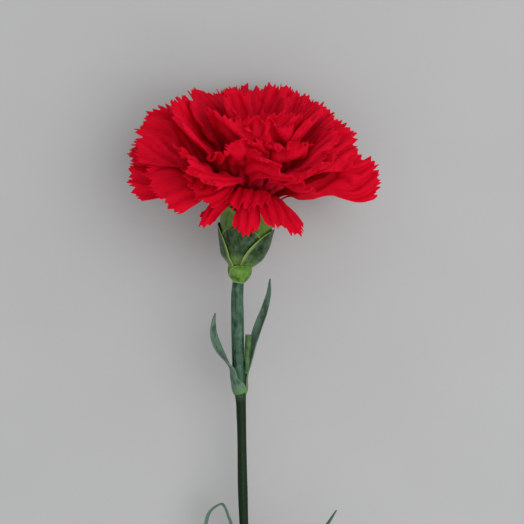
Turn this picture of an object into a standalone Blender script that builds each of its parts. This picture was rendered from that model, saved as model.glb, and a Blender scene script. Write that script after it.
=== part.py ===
"""A cut carnation lying on a table: ruffled petals, pistil, calyx, bracts, jointed stem, leaves.

The flower is modelled upright, seen from the side that ends up on top: +X to the right, -Y
towards the viewer, +Z along the stem to the petals, with the middle of the calyx's mouth at the
origin. An empty then lays it down on its back, so that its head lies towards world +Y, and the
world's origin is under the middle of its bounding box, on the table.
"""

import math
import random

import bmesh
import bpy
import numpy as np
from mathutils import Matrix, Vector

MM = 0.001

# Whole flower
HEAD_TILT = math.radians(12)  # the head's axis leans this far towards the viewer
HEAD_LEAN = math.radians(8)  # and this far to the right
TABLE_DEPTH = 29.0 * MM  # the table lies this far behind the middle of the calyx's mouth

# Petals: each has a narrow claw inside the calyx and a fan above its mouth. Level 0 is the
# outermost petal and level 1 the innermost. Every level is a surface of its own around the
# axis, and no two levels cross, so petals may overlap all round without touching.
PETAL_COUNT = 40
GOLDEN_ANGLE = math.pi * (3 - math.sqrt(5))  # from each petal to the next one inwards
OUTER_PETALS = (  # way round the axis, added lean in degrees, length and width of the outermost
    (-6, -27, 40 * MM, 17 * MM),
    (130, 10, 41 * MM, 29 * MM),
    (-88, 4, 26 * MM, 10 * MM),
    (50, 4, 40 * MM, 29 * MM),
    (178, -10, 38 * MM, 27 * MM),
    (-62, 4, 27.5 * MM, 12 * MM),
    (94, -3, 37 * MM, 27 * MM),
    (-141, 14, 27 * MM, 9 * MM),
    (22, -9, 36 * MM, 24 * MM),
    (166, 0, 41.5 * MM, 25 * MM),
    (-74, 6, 25 * MM, 10 * MM),
    (72, 0, 38 * MM, 27 * MM),
    (-162, 6, 36 * MM, 24 * MM),
    (-130, 2, 35 * MM, 20 * MM),
    (125, 0, 39 * MM, 27 * MM),
    (-90, -3, 20 * MM, 16 * MM),
)
PETAL_THICKNESS = 0.32 * MM
CLAW_LENGTH = 14.0 * MM
CLAW_FOOT_RING = (4.6 * MM, 1.95 * MM)  # radius of the claws' feet, outermost and innermost
CLAW_MOUTH_RING = (7.4 * MM, 2.7 * MM)  # and of the claws where they leave the calyx
CLAW_WIDTH = (1.5 * MM, 0.9 * MM)  # at the foot, outermost and innermost
NECK_WIDTH = 2.1 * MM  # of a claw at the calyx's mouth
FULL_FAN = 38.5 * MM
FAN_LENGTHS = ((0, 0.35, 0.6, 0.8, 1), (38.5 * MM, 41 * MM, 43 * MM, 42.5 * MM, 39 * MM))
FRONT_SHORTER = 0.18  # the inner petals nearest the viewer are shorter by this share
FAN_WIDTH = (29.0 * MM, 17.0 * MM)
FAN_NARROW = 4.0 * MM  # the fan keeps the claw's width this far above the mouth
FAN_WIDEST = 0.8  # share of the fan's length where it reaches its full width
BEND_LENGTH = 11.0 * MM  # the petals turn outwards over this length
OUT_ANGLE = (math.radians(90), math.radians(7))  # from the axis, after that turn
DROOP = (math.radians(24), math.radians(12))  # what the fan's far end adds to it
FRONT_RISE = math.radians(24)  # the front petals leave the calyx this much steeper
FOLD = ((0, 0.39, 0.44, 0.6, 0.8, 1), (80, 72, 30, 20, 12, 4))  # then fall forward, by level
FOLD_START = 6 * MM
FOLD_LENGTH = 15 * MM
NOD = 0.24  # how far the head sinks towards the viewer for each unit of depth
RUFFLES_AROUND = 11  # waves round the head
RUFFLE_HEIGHT = 2.1 * MM  # of the outermost petals' waves, either way
PETAL_COLUMNS = 6
CLAW_ROWS = 1
FAN_ROWS = 6

# Calyx: a tube with five teeth, at heights from its mouth
CALYX_FOOT = -18.3 * MM
CALYX_TIP = 3.2 * MM
CALYX_WALL = 0.4 * MM
CALYX_TEETH = 5
CALYX_SIDES = 30
CALYX_ROWS = 8
TOOTH_HEIGHT = 3.2 * MM

# Bracts: leafy scales round the calyx, laid over each other in pairs
BRACT_THICKNESS = 0.35 * MM
BRACT_LAYER = 0.6 * MM  # from one pair to the next
BRACT_COLUMNS = 10
BRACT_ROWS = 8

# Stem, and the receptacle that its top widens into
RECEPTACLE = [  # height along the head's axis and radius
    (h * MM, r * MM)
    for h, r in (
        (-14.6, 4.7),
        (-15.3, 4.4),
        (-16.2, 3.6),
        (-17.2, 2.75),
        (-18.4, 2.0),
        (-20.0, 1.8),
        (-22.5, 1.8),
    )
]
STEM = [  # place across, depth, height and radius
    tuple(value * MM for value in station)
    for station in (
        (-3.5, 5.4, -26.0, 1.95),
        (-3.5, 6.9, -34.0, 2.05),
        (-3.4, 8.2, -42.0, 2.05),
        (-3.1, 9.6, -51.0, 2.1),
        (-2.8, 10.3, -56.5, 2.3),
        (-2.5, 10.9, -60.5, 1.75),
        (-2.3, 11.7, -67.0, 1.55),
        (-1.9, 13.9, -90.0, 1.6),
        (-1.2, 15.9, -111.0, 1.75),
        (-0.9, 16.4, -118.0, 2.5),
        (-0.6, 16.7, -122.5, 2.0),
        (-0.2, 17.3, -130.0, 1.85),
        (0.9, 19.6, -160.0, 1.9),
        (1.9, 21.3, -181.0, 2.0),
        (2.3, 21.7, -188.0, 2.7),
        (2.5, 22.0, -192.5, 2.2),
        (2.7, 22.5, -200.0, 2.05),
        (2.9, 24.1, -230.0, 2.1),
        (3.3, 25.0, -251.0, 2.15),
        (3.5, 25.2, -257.5, 2.7),
        (3.6, 25.35, -262.0, 2.25),
        (3.7, 25.75, -285.0, 2.2),
    )
]
STUB = [  # what is left of a cut side shoot
    tuple(value * MM for value in station)
    for station in ((-0.3, 8.3, -47.5, 0.7), (-0.2, 7.9, -45.0, 0.95), (0.1, 7.0, -39.7, 1.05))
]

# Leaves, in opposite pairs that clasp the stem at its joints
LEAF_THICKNESS = 0.45 * MM
LEAF_GAP = 0.25 * MM  # between a leaf's sheath and the stem
LEAF_COLUMNS = 4
LEAF_ROWS = 12


def lerp(ends, share):
    """The value this share of the way between two ends."""
    return ends[0] + (ends[1] - ends[0]) * share


def smooth(share):
    """0 to 1 with level ends, for a share that may run past them."""
    clipped = np.clip(share, 0, 1)
    return clipped * clipped * (3 - 2 * clipped)


def in_flower(points):
    """Points of the head's frame, its axis upright, as rows in the flower's frame."""
    turn = Matrix.Rotation(HEAD_TILT, 3, "X") @ Matrix.Rotation(HEAD_LEAN, 3, "Y")
    return np.asarray(points) @ np.array(turn).T


def around_axis(angle, radius, height):
    """Points of the head's frame, from their places round its axis."""
    return np.stack([radius * np.cos(angle), radius * np.sin(angle), height + 0 * angle], axis=1)


# ---------------------------------------------------------------- petals


def petal_profile(level, added_lean, around):
    """Distances from a petal's foot, and the radius, height and lean of its level there."""
    front = max(-math.sin(around), 0) ** 2
    foot, mouth = lerp(CLAW_FOOT_RING, level), lerp(CLAW_MOUTH_RING, level)
    claw_angle = math.atan2(mouth - foot, CLAW_LENGTH)
    steepest = (OUT_ANGLE[0] - FRONT_RISE * front, OUT_ANGLE[1])
    out = lerp(steepest, level**0.9) + 0.35 * added_lean
    droop = lerp(DROOP, level) + 0.65 * added_lean
    fold = front * math.radians(np.interp(level, *FOLD))
    distance = np.linspace(0, CLAW_LENGTH / math.cos(claw_angle) + 1.2 * FULL_FAN, 240)
    above = distance - CLAW_LENGTH / math.cos(claw_angle)
    lean = claw_angle + (out - claw_angle) * smooth(above / BEND_LENGTH)
    lean += droop * np.clip(above / FULL_FAN, 0, 2) ** 2
    lean += fold * smooth((above - FOLD_START) / FOLD_LENGTH)
    middle = (lean[1:] + lean[:-1]) / 2
    radius = foot + np.concatenate([[0], np.cumsum(np.sin(middle)) * distance[1]])
    height = -CLAW_LENGTH + np.concatenate([[0], np.cumsum(np.cos(middle)) * distance[1]])
    return distance, radius, height, lean


def petal_shape(index):
    """A petal's way round the axis, added lean, length and width."""
    if index < len(OUTER_PETALS):
        turned, lean, length, width = OUTER_PETALS[index]
        return math.radians(turned), math.radians(lean), length, width
    level = index / (PETAL_COUNT - 1)
    own = random.Random(index)
    turned = index * GOLDEN_ANGLE + own.uniform(-0.05, 0.05)
    front = max(-math.sin(turned), 0) * smooth((level - 0.5) / 0.2)
    length = np.interp(level, *FAN_LENGTHS) * own.uniform(0.94, 1.04)
    length *= 1 - FRONT_SHORTER * front
    return turned, 0, length, lerp(FAN_WIDTH, level) * own.uniform(0.88, 1.06)


def ruffle(around, above, level):
    """Height of the waves at a place on the head: none at the mouth, most at the fringe."""
    size = lerp((1.0, 0.12), level) * smooth(above / FULL_FAN) ** 1.4
    waves = np.sin(RUFFLES_AROUND * around + 60 * above + 2.2 * level)
    return RUFFLE_HEIGHT * size * waves


def stir(points):
    """Small wide swells that carry neighbouring petals along together, so that no two meet."""
    swells = (
        ((0.25, 0.05, 0.10), (0.3, 0.2, 1.0), 0.4),
        ((-0.12, 0.22, 0.06), (1.0, -0.3, 0.4), 2.1),
        ((0.08, -0.16, 0.20), (0.2, 1.0, -0.5), 4.4),
    )
    reach = np.linalg.norm(points * [1, 1, 0.7], axis=1)
    size = 1.15 * MM * smooth((reach - 10 * MM) / (24 * MM))
    moved = points.copy()
    for wave, push, phase in swells:
        along = np.sin(points @ np.array(wave) / MM + phase)
        moved += (size * along)[:, None] * np.array(push)
    return moved


def nod(points):
    """The head sinks towards the viewer and rises at its back."""
    reach = np.linalg.norm(points, axis=1)
    moved = points.copy()
    moved[:, 2] += NOD * points[:, 1] * smooth((reach - 5 * MM) / (30 * MM))
    return moved


def press_on_table(points):
    """The underside of the head gives way where it lies, and spreads along the table."""
    give = 17 * MM
    past = np.maximum(points[:, 1] - TABLE_DEPTH + 13 * MM, 0)
    pressed = give * (1 - np.exp(-past / give))
    moved = points.copy()
    moved[:, 1] += pressed - past
    moved[:, 2] += (past - pressed) * lerp((-0.55, 0.25), smooth(points[:, 2] / (40 * MM)))
    return moved


def petal_points(index, across, along):
    """Places on a petal's middle surface, for across from -1 to 1 and along in metres.

    along runs from the claw's foot, and a full fan's length past the claw is its fringe. Each
    place reads the profile of its level at its own way round, so the levels stay nested.
    """
    level = index / (PETAL_COUNT - 1)
    turned, added_lean, length, width = petal_shape(index)
    distance, radius, _, _ = petal_profile(level, added_lean, turned)
    claw = distance[-1] - 1.2 * FULL_FAN
    rounded = 1 - 0.13 * np.abs(across) ** 2.5
    above = np.maximum(along - claw, 0) * rounded * length / FULL_FAN
    along = np.minimum(along, claw) + above

    widen = smooth((above - FAN_NARROW) / (FAN_WIDEST * length - FAN_NARROW)) ** 0.9
    neck = np.minimum(along / claw, 1)
    wide = lerp(CLAW_WIDTH, level) * (1 - neck) + NECK_WIDTH * neck + (width - NECK_WIDTH) * widen
    around = turned + across * wide / (2 * np.interp(along, distance, radius))
    own = np.array([place_on_level(level, added_lean, *at) for at in zip(around, along)])
    r, h, lean = own.T

    lift = ruffle(around, above, level)
    points = around_axis(around, r - lift * np.cos(lean), h + lift * np.sin(lean))
    return press_on_table(nod(in_flower(stir(points))))


def place_on_level(level, added_lean, around, along):
    """Radius, height and lean of a level's surface at one way round, this far from its foot."""
    distance, *profile = petal_profile(level, added_lean, around)
    return [np.interp(along, distance, values) for values in profile]


def add_petals(material, flower, collection):
    """Forty petals in a golden-angle spiral, from the widest outer one to the upright middle."""
    claw = np.linspace(0, CLAW_LENGTH, CLAW_ROWS + 1)[:-1]
    fan = CLAW_LENGTH + FULL_FAN * np.linspace(0, 1, FAN_ROWS + 1) ** 1.25
    distances = np.concatenate([claw, fan])
    shares = np.linspace(0, 1, len(distances))
    for index in range(PETAL_COUNT):

        def place(across, share, index=index):
            return petal_points(index, across, np.interp(share, shares, distances))

        name = f"petal_{index + 1:02d}"
        mesh = sheet_mesh(name, PETAL_COLUMNS, len(distances) - 1, place)
        thicken(new_object(name, mesh, material, flower, collection), PETAL_THICKNESS)


# ---------------------------------------------------------------- calyx, bracts and pistil


def calyx_skin(height):
    """Radius of the calyx's inner wall: a bowl that rises from the neck, and flares at its mouth."""
    bowl = 2.3 + 3.3 * smooth((height / MM + 18.6) / 5.2) + 2.6 * smooth((height / MM + 16) / 14)
    return (bowl + 1.5 * smooth((height / MM + 0.5) / 4.5)) * MM


def off_skin(height, off):
    """Radius at a height of what lies this far off the calyx's inner wall, square to it."""
    step = 0.1 * MM
    slope = (calyx_skin(height + step) - calyx_skin(height - step)) / (2 * step)
    return calyx_skin(height) + off * np.sqrt(1 + slope**2)


def add_calyx(material, flower, collection):
    """The green tube that holds the petals' claws, with five teeth at its mouth."""

    def place(across, share):
        notch = np.abs(((across + 1) / 2 * CALYX_TEETH) % 1 - 0.5) * 2
        top = CALYX_TIP - TOOTH_HEIGHT * notch
        height = CALYX_FOOT + (top - CALYX_FOOT) * share
        return in_flower(around_axis(math.pi * across, off_skin(height, CALYX_WALL / 2), height))

    mesh = sheet_mesh("calyx", CALYX_SIDES, CALYX_ROWS, place, closed=True)
    thicken(new_object("calyx", mesh, material, flower, collection), CALYX_WALL)


def bract_radius(height, layer):
    """Middle of a bract's thickness, over the calyx and then down against the stem."""
    off = CALYX_WALL + 0.4 * MM + BRACT_THICKNESS / 2 + layer * BRACT_LAYER
    foot = bract_foot(layer)
    at_stem = RECEPTACLE[-1][1] + 0.25 * MM + BRACT_THICKNESS / 2
    tuck = np.clip((CALYX_FOOT - height) / (CALYX_FOOT - foot), 0, 1)
    return off_skin(height, off) * (1 - tuck) + at_stem * tuck


def bract_foot(layer):
    """Height at which a layer of bracts leaves the stem."""
    return CALYX_FOOT - (1.3 + 1.4 * layer) * MM


def add_bract(name, layer, middle, tip, half_width, stand_off, material, flower, collection):
    """A pointed scale against the calyx: its layer from inside, its middle round the axis."""
    foot = bract_foot(layer)

    def place(across, share):
        height = foot + (tip - foot) * share
        outline = np.sqrt(np.clip(1 - np.maximum(share - 0.25, 0) ** 1.6 / 0.75**1.6, 0, 1))
        outline = np.maximum(outline * (0.72 + 0.28 * smooth(share / 0.3)), 0.05)
        swell = stand_off * np.sin(math.pi * np.clip((share - 0.3) / 0.65, 0, 1)) ** 2
        angle = middle + across * half_width * outline
        return in_flower(around_axis(angle, bract_radius(height, layer) + swell, height))

    mesh = sheet_mesh(name, BRACT_COLUMNS, BRACT_ROWS, place)
    thicken(new_object(name, mesh, material, flower, collection), BRACT_THICKNESS)


def add_bracts(material, flower, collection):
    """Two pairs of bracts and the small basal pair, each pair at right angles to the last."""
    rows = (
        ("bract_1", 0, -100, -3.6, 78, 0.0),
        ("bract_2", 0, 80, -3.0, 78, 0.0),
        ("bract_3", 1, -14, -4.2, 78, 0.7),
        ("bract_4", 1, 172, -5.0, 66, 0.2),
        ("basal_bract_1", 2, -75, -16.6, 82, 0.0),
        ("basal_bract_2", 2, 105, -16.2, 82, 0.0),
    )
    for name, layer, middle, tip, half_width, stand_off in rows:
        angles = math.radians(middle), math.radians(half_width)
        sizes = tip * MM, stand_off * MM
        add_bract(
            name, layer, angles[0], sizes[0], angles[1], sizes[1], material, flower, collection
        )


def add_pistil(material, flower, collection):
    """The ovary on the receptacle, with two styles that curl up among the innermost petals."""
    foot = RECEPTACLE[0][0] + 0.3 * MM
    outline = ((0.0, 0.9), (1.5, 1.35), (3.5, 1.45), (5.5, 1.1), (7.2, 0.65))
    stations = [(*in_flower([0, 0, foot + h * MM]), r * MM) for h, r in outline]
    add_tube("ovary", stations, 2, 2, material, flower, collection)
    for name, side in (("style_left", -1), ("style_right", 1)):
        heights = np.linspace(foot + 7.5 * MM, 19 * MM, 6)
        lift = (heights - heights[0]) / (heights[-1] - heights[0])
        apart = side * (0.42 + 0.9 * lift**2) * MM
        path = in_flower(stir(np.stack([apart, 0.5 * MM * lift, heights], axis=1)))
        add_tube(name, [(*point, 0.24 * MM) for point in path], 0, 2, material, flower, collection)


# ---------------------------------------------------------------- stem and leaves


def add_tube(name, stations, sides, steps, material, flower, collection):
    """A curve through stations of place and radius, with a round section and filled caps."""
    curve = bpy.data.curves.new(name, "CURVE")
    curve.dimensions = "3D"
    curve.resolution_u = curve.render_resolution_u = steps
    curve.bevel_depth = 1 * MM
    curve.bevel_resolution = sides
    curve.use_fill_caps = True
    spline = curve.splines.new("BEZIER")
    spline.bezier_points.add(len(stations) - 1)
    for point, (x, y, z, radius) in zip(spline.bezier_points, stations):
        point.co = (x, y, z)
        point.radius = radius / MM
        point.handle_left_type = point.handle_right_type = "AUTO"
    return new_object(name, curve, material, flower, collection)


def add_stem(material, flower, collection):
    """The jointed stem, from the receptacle under the petals to its cut end."""
    top = [(*in_flower([0, 0, height]), radius) for height, radius in RECEPTACLE]
    add_tube("stem", top + STEM, 3, 3, material, flower, collection)
    add_tube("side_shoot_stub", STUB, 2, 2, material, flower, collection)


def along_path(path, share):
    """Places and directions at shares of the way along a smooth curve through a path's points."""
    path = np.array(path)
    steps = np.concatenate([[0], np.cumsum(np.linalg.norm(np.diff(path, axis=0), axis=1))])
    slopes = np.gradient(path, steps, axis=0)
    at = np.clip(share, 0, 1) * steps[-1]
    left = np.clip(np.searchsorted(steps, at, side="right") - 1, 0, len(steps) - 2)
    span = (steps[left + 1] - steps[left])[:, None]
    t = (at - steps[left])[:, None] / span
    start, end = path[left], path[left + 1]
    slope, end_slope = slopes[left] * span, slopes[left + 1] * span
    place = start * (2 * t**3 - 3 * t**2 + 1) + slope * (t**3 - 2 * t**2 + t)
    place += end * (3 * t**2 - 2 * t**3) + end_slope * (t**3 - t**2)
    toward = start * (6 * t**2 - 6 * t) + slope * (3 * t**2 - 4 * t + 1)
    toward += end * (6 * t - 6 * t**2) + end_slope * (3 * t**2 - 2 * t)
    return place, toward / np.linalg.norm(toward, axis=1)[:, None]


def add_leaf(name, middle, joint, blade, width, twist, wrap, material, flower, collection):
    """A narrow channelled leaf: a sheath on the stem's joint, and a blade along its own points.

    middle is the way it points from the stem, joint its stem station, and blade the places of
    its midrib past the sheath, each as outwards from the stem and up along it. wrap turns the
    sheath round the stem from there.
    """
    x, y, z, radius = STEM[joint]
    above, below = np.array(STEM[joint - 1]), np.array(STEM[joint + 1])
    up = Vector(above[:3] - below[:3]).normalized()
    out = Vector((math.cos(middle), math.sin(middle), 0))
    out = (out - up * out.dot(up)).normalized()
    side = up.cross(out)
    hug = radius + LEAF_GAP + LEAF_THICKNESS / 2
    foot = [(hug, -1.2 * MM), (hug, 0.8 * MM), (hug + 0.1 * MM, 2.6 * MM)]
    midrib = foot + [(outwards * MM, upwards * MM) for outwards, upwards in blade]
    points = [
        np.array((x, y, z)) + outwards * np.array(out) + upwards * np.array(up)
        for outwards, upwards in midrib
    ]

    def place(across, share):
        centre, toward = along_path(points, share)
        lateral = np.array(side) - toward * (toward @ np.array(side))[:, None]
        lateral /= np.linalg.norm(lateral, axis=1)[:, None]
        inner = np.cross(toward, lateral)
        turned = (twist * smooth((share - 0.2) / 0.6))[:, None]
        lateral, inner = (
            lateral * np.cos(turned) + inner * np.sin(turned),
            inner * np.cos(turned) - lateral * np.sin(turned),
        )
        tip = np.clip(1 - share**2.1, 0, 1) ** 0.8
        clasp = 1 - smooth((share - 0.03) / 0.16)
        half = width / 2 * tip * (1 - clasp) + 1.42 * hug * clasp
        half = np.maximum(half, 0.25 * MM)
        bend = hug + 3.2 * MM * smooth((share - 0.06) / 0.3) + 6 * MM * smooth((share - 0.4) / 0.6)
        angle = across * half / bend + wrap * clasp
        return (
            centre
            + lateral * (bend * np.sin(angle))[:, None]
            + inner * (bend * (1 - np.cos(angle)))[:, None]
        )

    mesh = sheet_mesh(name, LEAF_COLUMNS, LEAF_ROWS, place)
    thicken(new_object(name, mesh, material, flower, collection), LEAF_THICKNESS)


def add_leaves(material, flower, collection):
    """Three pairs of leaves, at three of the stem's joints."""
    upper_left = [(2.8, 6), (4.4, 9), (6.7, 13.5), (7.9, 18.5), (7.6, 22), (6.8, 25)]
    upper_right = [(4, 7), (5.4, 12), (8, 19), (10.4, 24), (12.2, 29), (13, 34)]
    middle_left = [(3.4, 9), (4.6, 17), (7, 22.3), (10.2, 20.5), (13, 13), (14, 3)]
    middle_right = [(5, 4.5), (11, 6.5), (18, 8.5), (25.5, 12), (31, 19)]
    lower_left = [(4, 6), (10, 14), (18, 22), (27, 26), (36, 25), (43, 19)]
    lower_right = [(3.6, 7), (8, 18), (14, 30), (19, 42), (21, 54), (20, 64)]
    rows = (
        ("upper_leaf_left", -158, 4, upper_left, 6.0, -1.1, 0.75),
        ("upper_leaf_right", 22, 4, upper_right, 4.8, 0.6, 0.6),
        ("middle_leaf_left", 176, 9, middle_left, 4.6, 0.3, 0.2),
        ("middle_leaf_right", -4, 9, middle_right, 4.0, 0.4, 0.2),
        ("lower_leaf_left", -170, 14, lower_left, 4.6, 0.3, 0.2),
        ("lower_leaf_right", 10, 14, lower_right, 4.4, -0.4, 0.2),
    )
    for name, middle, joint, blade, width, twist, wrap in rows:
        add_leaf(
            name,
            math.radians(middle),
            joint,
            blade,
            width * MM,
            twist,
            wrap,
            material,
            flower,
            collection,
        )


# ---------------------------------------------------------------- building


def new_object(name, data, material, flower, collection):
    """A named part with its material, carried by the flower."""
    made = bpy.data.objects.new(name, data)
    made.data.materials.append(material)
    made.parent = flower
    collection.objects.link(made)
    return made


def sheet_mesh(name, columns, rows, place, closed=False):
    """A grid whose vertices place() moves, from across -1 to 1 and share 0 to 1 to their places.

    A closed sheet's two sides meet, as in a tube.
    """
    grid = bmesh.new()
    bmesh.ops.create_grid(grid, x_segments=columns, y_segments=rows, size=1)
    flat = np.array([vertex.co for vertex in grid.verts])
    for vertex, point in zip(grid.verts, place(flat[:, 0], (flat[:, 1] + 1) / 2)):
        vertex.co = point
    if closed:
        bmesh.ops.remove_doubles(grid, verts=grid.verts, dist=0.01 * MM)
    bmesh.ops.recalc_face_normals(grid, faces=grid.faces)
    mesh = bpy.data.meshes.new(name)
    grid.to_mesh(mesh)
    grid.free()
    mesh.shade_smooth()
    return mesh


def thicken(part, thickness):
    """Gives an open sheet its thickness, half to each side."""
    solid = part.modifiers.new("Solidify", "SOLIDIFY")
    solid.thickness = thickness
    solid.offset = 0


def plant_material(name, colour, roughness):
    """A dull natural surface."""
    made = bpy.data.materials.new(name)
    made.use_nodes = True
    shader = made.node_tree.nodes["Principled BSDF"]
    shader.inputs["Base Color"].default_value = (*colour, 1)
    shader.inputs["Roughness"].default_value = roughness
    shader.inputs["Metallic"].default_value = 0
    made.diffuse_color = (*colour, 1)
    return made


def lay_down(flower):
    """Lays the flower on its back, with the world's origin under the middle of its box."""
    flower.rotation_euler.x = -math.pi / 2
    bpy.context.view_layer.update()
    depsgraph = bpy.context.evaluated_depsgraph_get()
    points = []
    for part in flower.children:
        placed = part.evaluated_get(depsgraph)
        points += [placed.matrix_world @ vertex.co for vertex in placed.to_mesh().vertices]
        placed.to_mesh_clear()
    lowest, highest = np.min(points, axis=0), np.max(points, axis=0)
    middle = (lowest + highest) / 2
    flower.location = (-middle[0], -middle[1], -lowest[2])


def main():
    for left_over in list(bpy.data.objects):
        bpy.data.objects.remove(left_over)
    collection = bpy.data.collections.new("cut_carnation")
    bpy.context.scene.collection.children.link(collection)
    flower = bpy.data.objects.new("flower", None)
    collection.objects.link(flower)

    red_petal = plant_material("red_petal", (0.35, 0.002, 0.01), 0.65)
    green_stem = plant_material("green_stem", (0.06, 0.11, 0.06), 0.5)
    green_leaf = plant_material("green_leaf", (0.045, 0.075, 0.045), 0.55)
    green_calyx = plant_material("green_calyx", (0.10, 0.16, 0.04), 0.45)
    pale_pistil = plant_material("pale_pistil", (0.55, 0.6, 0.35), 0.5)

    add_petals(red_petal, flower, collection)
    add_calyx(green_calyx, flower, collection)
    add_bracts(green_calyx, flower, collection)
    add_pistil(pale_pistil, flower, collection)
    add_stem(green_stem, flower, collection)
    add_leaves(green_leaf, flower, collection)
    lay_down(flower)


main()
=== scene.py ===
"""A cut carnation lying on a pale table: velvety toothed petals on a waxy green stem.

Shapes are worked out in the flower's own frame, in millimetres: +X to the right, -Y towards the
viewer, +Z along the stem to the petals, with the middle of the calyx's mouth at the origin.
to_world() then lays them down where the frame's parts are.
"""

import math
import random

import bmesh
import bpy
import numpy as np
from mathutils import Matrix, Vector


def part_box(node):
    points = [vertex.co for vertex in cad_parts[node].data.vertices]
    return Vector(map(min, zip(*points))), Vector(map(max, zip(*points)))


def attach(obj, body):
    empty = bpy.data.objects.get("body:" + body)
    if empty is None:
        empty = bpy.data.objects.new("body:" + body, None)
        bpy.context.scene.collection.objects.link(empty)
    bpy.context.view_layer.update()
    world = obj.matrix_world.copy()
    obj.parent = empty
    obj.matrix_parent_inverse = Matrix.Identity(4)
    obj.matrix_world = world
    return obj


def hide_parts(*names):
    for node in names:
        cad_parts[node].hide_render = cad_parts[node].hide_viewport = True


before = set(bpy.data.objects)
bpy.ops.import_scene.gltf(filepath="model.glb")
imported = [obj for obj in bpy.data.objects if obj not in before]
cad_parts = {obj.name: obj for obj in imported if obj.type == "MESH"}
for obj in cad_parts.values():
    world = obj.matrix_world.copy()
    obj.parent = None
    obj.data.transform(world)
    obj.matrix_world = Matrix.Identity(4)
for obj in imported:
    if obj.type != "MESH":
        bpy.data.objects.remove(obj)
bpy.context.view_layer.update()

bl_info = {
    "name": "Cut carnation",
    "version": (1, 0, 0),
    "blender": (4, 5, 0),
    "location": "View3D > Sidebar > Carnation",
    "description": "Builds a cut carnation: petals, calyx, bracts, stem, leaves and a plain stage",
    "category": "Add Mesh",
}

MM = 0.001

# Whole flower
HEAD_TILT = math.radians(12)  # the head's axis leans this far towards the viewer
HEAD_LEAN = math.radians(8)  # and this far to the right
TABLE_DEPTH = 28.3  # the table lies this far behind the middle of the calyx's mouth
OVARY_MIDDLE = Vector((-1.594, 2.344, -10.395))  # in the flower's frame
OVARY_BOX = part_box("ovary")
OVARY_PLACE = (OVARY_BOX[0] + OVARY_BOX[1]) / 2 / MM
MOUTH = OVARY_PLACE - Vector((OVARY_MIDDLE.x, OVARY_MIDDLE.z, -OVARY_MIDDLE.y))

# Petals, level 0 the outermost and level 1 the innermost
PETAL_COUNT = 40
GOLDEN_ANGLE = math.pi * (3 - math.sqrt(5))  # from each petal to the next one inwards
FAN_ROUNDING, LOBE_ROUNDING = 0.10, 0.32  # share of the length lost at a fan's corners
LOBE_WIDTH = 12  # fans narrower than this are the rounder lobes
SET_PETALS = (  # way round, added lean, length, width, turn about its own length, growth
    (-6, -63, 42.0, 17, 72, 1.4),
    (130, 10, 41.0, 29, 0, 1.35),
    (-91, 4, 26.5, 8, 0, 1.35),
    (50, 4, 40.0, 29, 0, 1.35),
    (178, -10, 38.0, 27, -20, 1.3),
    (-55, 6, 28.0, 10, 0, 1.35),
    (94, -3, 37.0, 27, 0, 1.35),
    (-124, 30, 28.0, 8, 25, 1.35),
    (22, -9, 36.0, 24, 0, 1.3),
    (166, 0, 41.5, 25, 0, 1.35),
    (-71, 6, 28.5, 8, 0, 1.35),
    (72, 0, 38.0, 27, 0, 1.35),
    (-156, 8, 36.0, 24, -10, 1.25),
    (-136, -17, 31.0, 20, 0, 1.2),
    (125, 0, 39.0, 27, 0, 1.35),
    (-97, 0, 24.0, 18, 0, 1.15),
)
SET_INNER = {  # added lean, share of its length, and turn of some petals further in
    17: (0, 1.04, -30),
    18: (-24, 0.95, 0),
    21: (-9, 0.96, 40),
    25: (-6, 1.05, -10),
    26: (0, 1.0, 30),
    19: (-3, 1.07, 0),
    27: (0, 0.95, 10),
    30: (2, 1.06, 0),
    32: (2, 1.06, 0),
    35: (0, 0.91, 10),
}
LENGTHS = ((0, 0.35, 0.6, 0.8, 1), (38.5, 41, 43, 43, 42.5))  # of the fan, by level
WIDTHS = (29.0, 20.0)  # of the fan, outermost and innermost
FRONT_SHORTER = 0.08  # the inner petals nearest the viewer are shorter by this share
INNER_FROM, INNER_OVER = 0.5, 0.2  # levels over which petals come to count as inner ones
PLACE_SPREAD = (-0.05, 0.05)  # an inner petal's own stray round the axis
LENGTH_SPREAD, WIDTH_SPREAD = (0.94, 1.04), (0.88, 1.06)
TURN_SPREAD = (-35, 35)
TURN_SEED, WAVE_SEED, FRINGE_SEED = 100, 5, 200
CLAW_LENGTH = 14.0
CLAW_FOOT_RING = (4.6, 1.95)  # radius of the claws' feet, outermost and innermost
CLAW_MOUTH_RING = (7.4, 2.7)  # and of the claws where they leave the calyx
CLAW_WIDTH = (1.5, 0.9)
NECK_WIDTH = 2.1
FAN_NARROW = 4.0  # the fan keeps the claw's width this far above the mouth
FAN_WIDEST = 0.8  # share of the fan's length where it reaches its full width
FAN_LATENESS, STRAP_LATENESS = 0.9, 3.4  # the outermost petal stays a narrow strap for longer
FAN_CHORD = 0.9  # share of its width that a fan has room for before it grows
FAN_REACH = 24  # radius at which a fan's two edges are taken to stand
SIDE_SPREAD = 0.9  # and the share of that room that its columns are spread over
BEND_LENGTH = 11.0  # over which a petal bends outwards above the mouth
FULL_FAN = 38.5  # length of a fan that droops by its full droop
PROFILE_REACH, PROFILE_POINTS = 1.2, 240
OUT_ANGLE = (math.radians(90), math.radians(7))  # from the axis, after the bend
OUT_POWER = 0.9
LEAN_IN_BEND, LEAN_IN_DROOP = 0.35, 0.65  # how an added lean is shared out
DROOP = (math.radians(24), math.radians(12))
FRONT_RISE = math.radians(24)  # the front petals leave the calyx this much steeper
FOLD = ((0, 0.39, 0.44, 0.6, 0.8, 1), (80, 72, 30, 20, 12, 4))  # and fall forward, by level
FOLD_START, FOLD_LENGTH = 6, 15  # above the mouth
TURN_FROM, TURN_OVER = 0.35, 0.5  # shares of the fan over which a petal's turn comes
NOD = 0.24  # how far the head sinks towards the viewer for each millimetre of depth
NOD_FROM, NOD_OVER = 5, 30
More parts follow.
